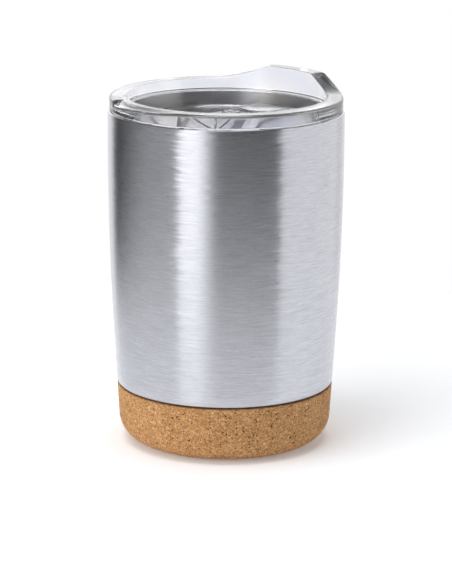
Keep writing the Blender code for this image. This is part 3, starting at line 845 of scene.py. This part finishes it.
def make_slider(material):
    """Plate, raised pad over the hole, and a ribbed grip, joined into one moulding."""
    half = SLIDER_HIGH.x
    plate = rounded_box((-half, SLIDER_LOW.y, SLIDER_LOW.z), (half, SLIDER_HIGH.y, PLATE_TOP), PLATE_EDGE)
    pad_end = SLIDER_HIGH.y - PAD_INSET
    blocks = [
        plate_block(PAD_HALF_WIDTH, PAD_START, pad_end, PLATE_TOP + PAD_HEIGHT, PAD_EDGE, 4),
        plate_block(GRIP_HALF_WIDTH, GRIP_START, GRIP_END, SLIDER_HIGH.z, GRIP_EDGE, 4),
    ]
    for step in range(RIB_COUNT):
        y = RIB_START + RIB_PITCH * step
        start = y - RIB_HALF_LENGTH
        end = y + RIB_HALF_LENGTH
        blocks.append(plate_block(RIB_HALF_WIDTH, start, end, PLATE_TOP + RIB_HEIGHT, RIB_EDGE, 2))
    mesh = combined(plate, [("UNION", block) for block in blocks])
    mesh.name = "slider_moulding"
    shade(mesh, 30)
    add_piece("slider_moulding", mesh, "slider", ["lid_slider"], material)


# ---------------------------------------------------------------- hidden pieces

def finish_hidden_pieces():
    """Inner pieces keep their CAD shape and get their own materials."""
    finishes = {
        "shell_base_plate": brushed_steel(
            "plate_steel", rgb(190, 190, 194), roughness=0.35, anisotropic=0.3, streak=0.15, sway=0.02
        ),
        "vacuum_seal_bead": dull_metal("solder_metal", rgb(168, 168, 172), roughness=0.4),
        "vacuum_getter": dull_metal("getter_pill", rgb(96, 96, 100), roughness=0.55),
        "cork_bond_pad": dark_bond("bond_layer"),
    }
    for node, material in finishes.items():
        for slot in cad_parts[node].material_slots:
            slot.material = material


# ---------------------------------------------------------------- studio

def make_floor():
    """A round pale table top, which carries the cup's soft shadow and shows in the steel."""
    mesh = bpy.data.meshes.new("floor")
    disc = bmesh.new()
    bmesh.ops.create_circle(disc, cap_ends=True, segments=96, radius=FLOOR_RADIUS)
    disc.to_mesh(mesh)
    disc.free()
    mesh.materials.append(pale_floor("floor_paper"))
    floor = new_object("floor", mesh)
    floor.location.z = -FLOOR_DROP


def panel_share(nodes, azimuth, elevation, panel):
    """How much of one panel's light a direction gets: all inside it, less across its soft edges."""
    left_end, right_end, left_soft, right_soft, low, high = panel
    half = (right_end - left_end) / 2
    from_middle = nodes.math("SUBTRACT", azimuth, (left_end + right_end) / 2)
    offset = nodes.math("WRAP", from_middle, 180.0, -180.0)
    across = 1.0
    if half < 180:
        from_left = nodes.span(offset, -half - left_soft, -half + left_soft)
        to_right = nodes.span(offset, half - right_soft, half + right_soft, 1, 0)
        across = nodes.math("MULTIPLY", from_left, to_right)
    above = nodes.span(elevation, low - PANEL_EDGE / 2, low + PANEL_EDGE / 2)
    below = nodes.span(elevation, high - PANEL_EDGE / 2, high + PANEL_EDGE / 2, 1, 0)
    return nodes.math("MULTIPLY", nodes.math("MULTIPLY", above, below), across)


def make_world():
    """A studio of soft panels; the camera itself sees plain white behind the table."""
    world = bpy.data.worlds.new("studio")
    bpy.context.scene.world = world
    world.use_nodes = True
    world.node_tree.nodes.clear()
    nodes = Nodes(world.node_tree)
    direction = nodes.add("ShaderNodeSeparateXYZ")
    nodes.link(nodes.add("ShaderNodeTexCoord").outputs["Generated"], direction.inputs[0])
    east, north, up = direction.outputs
    cos_a = math.cos(CAMERA_AZIMUTH)
    sin_a = math.sin(CAMERA_AZIMUTH)
    right = nodes.weighted_sum((east, cos_a), (north, sin_a))
    toward = nodes.weighted_sum((east, sin_a), (north, -cos_a))
    azimuth = nodes.math("DEGREES", nodes.math("ARCTAN2", right, toward))
    elevation = nodes.math("DEGREES", nodes.math("ARCSINE", up))
    light = DARK_ROOM
    for _name, *panel, brightness in PANELS:
        share = panel_share(nodes, azimuth, elevation, panel)
        light = nodes.math("ADD", light, nodes.math("MULTIPLY", share, brightness))
    studio = nodes.add("ShaderNodeBackground")
    studio.inputs["Color"].default_value = (0.99, 0.99, 1.0, 1.0)
    nodes.link(light, studio.inputs["Strength"])
    plain = nodes.add("ShaderNodeBackground")
    plain.inputs["Color"].default_value = (1, 1, 1, 1)
    mix = nodes.add("ShaderNodeMixShader")
    nodes.link(nodes.add("ShaderNodeLightPath").outputs["Is Camera Ray"], mix.inputs[0])
    nodes.link(studio.outputs[0], mix.inputs[1])
    nodes.link(plain.outputs[0], mix.inputs[2])
    nodes.link(mix.outputs[0], nodes.add("ShaderNodeOutputWorld").inputs[0])
    bpy.context.scene.view_settings.view_transform = "Standard"


def allow_long_light_paths():
    """Light crosses many faces inside the clear lid, so its paths are allowed to be long."""
    paths = bpy.context.scene.cycles
    paths.max_bounces = 28
    paths.glossy_bounces = 14
    paths.transmission_bounces = 20


def make_lamps():
    """Lamps that light the scene but don't show as discs in the steel or through the lid."""
    for name, azimuth, elevation, width, power in LAMPS:
        data = bpy.data.lights.new(name, "AREA")
        data.shape = "DISK"
        data.size = width
        data.energy = power
        lamp = new_object(name, data)
        heading = CAMERA_AZIMUTH + math.radians(azimuth)
        height = math.radians(elevation)
        toward = Vector((
            math.sin(heading) * math.cos(height),
            -math.cos(heading) * math.cos(height),
            math.sin(height),
        ))
        lamp.location = toward * LAMP_DISTANCE
        lamp.rotation_euler = toward.to_track_quat("Z", "Y").to_euler()
        lamp.visible_glossy = False
        lamp.visible_transmission = False


def make_camera():
    right = Vector((math.cos(CAMERA_AZIMUTH), math.sin(CAMERA_AZIMUTH), 0))
    away = Vector((-math.sin(CAMERA_AZIMUTH), math.cos(CAMERA_AZIMUTH), 0))
    up = Vector((0, 0, 1))
    lens_up = away * math.sin(CAMERA_PITCH) + up * math.cos(CAMERA_PITCH)
    toward = away * math.cos(CAMERA_PITCH) - up * math.sin(CAMERA_PITCH)
    side = right * math.cos(CAMERA_ROLL) + lens_up * math.sin(CAMERA_ROLL)
    top = lens_up * math.cos(CAMERA_ROLL) - right * math.sin(CAMERA_ROLL)
    data = bpy.data.cameras.new("camera")
    data.lens = CAMERA_LENS
    data.sensor_width = CAMERA_SENSOR
    camera = new_object("camera", data)
    place = right * CAMERA_SIDE - away * CAMERA_DISTANCE + up * CAMERA_HEIGHT
    camera.matrix_world = Matrix((
        (side.x, top.x, -toward.x, place.x),
        (side.y, top.y, -toward.y, place.y),
        (side.z, top.z, -toward.z, place.z),
        (0, 0, 0, 1),
    ))
    bpy.context.scene.camera = camera


make_camera()
allow_long_light_paths()
make_world()
make_lamps()
make_floor()
make_shell(brushed_steel(
    "brushed_shell", rgb(206, 207, 213), roughness=0.3, anisotropic=0.92, streak=0.19, sway=0.026
))
make_liner(brushed_steel(
    "satin_liner", rgb(240, 236, 229), roughness=0.42, anisotropic=0.88, streak=0.12, sway=0.03
))
make_cork(pressed_cork("pressed_cork"))
make_lid(clear_plastic("lid_clear", (0.895, 0.91, 0.975, 1.0), roughness=0.02, clarity=0.97))
make_gasket(silicone("seal_silicone"))
make_slider(clear_plastic("slider_clear", (0.94, 0.95, 0.98, 1.0), roughness=0.03, clarity=0.95))
finish_hidden_pieces()
